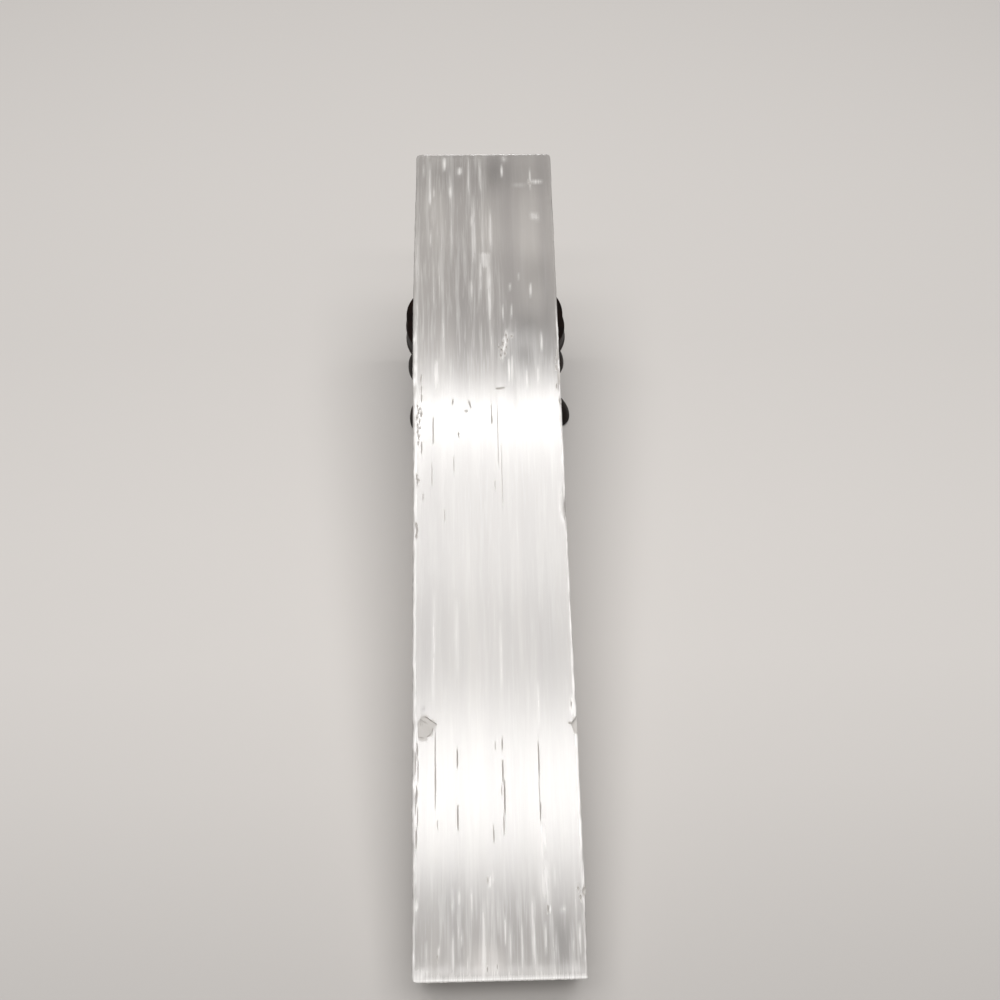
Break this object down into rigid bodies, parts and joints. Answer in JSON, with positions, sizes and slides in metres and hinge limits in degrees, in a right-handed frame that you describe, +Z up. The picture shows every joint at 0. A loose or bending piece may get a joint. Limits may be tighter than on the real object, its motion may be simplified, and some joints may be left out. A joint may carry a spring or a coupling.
{
  "type": "selenite block on stand",
  "caption": "Long block of satin spar selenite, its foot on the ground, leaning back on a small round carved wooden stand.",
  "frame": {"origin": "middle of the whole outline, on the ground that the block's foot and the stand's feet rest on", "axes": "+Z up, +Y along the block towards its raised end, +X across it to the right as seen from its foot"},
  "size_m": [0.0494, 0.199, 0.0787],
  "materials": {
    "selenite": "silky, fibrous, hand polished",
    "rosewood": "dark stain under gloss lacquer"
  },
  "bodies": {
    "root": {"selenite_block": "selenite", "stand_top": "rosewood", "stand_apron": "rosewood", "stand_leg_right": "rosewood", "stand_leg_back": "rosewood", "stand_leg_left": "rosewood", "stand_leg_front": "rosewood"}
  },
  "joints": []
}
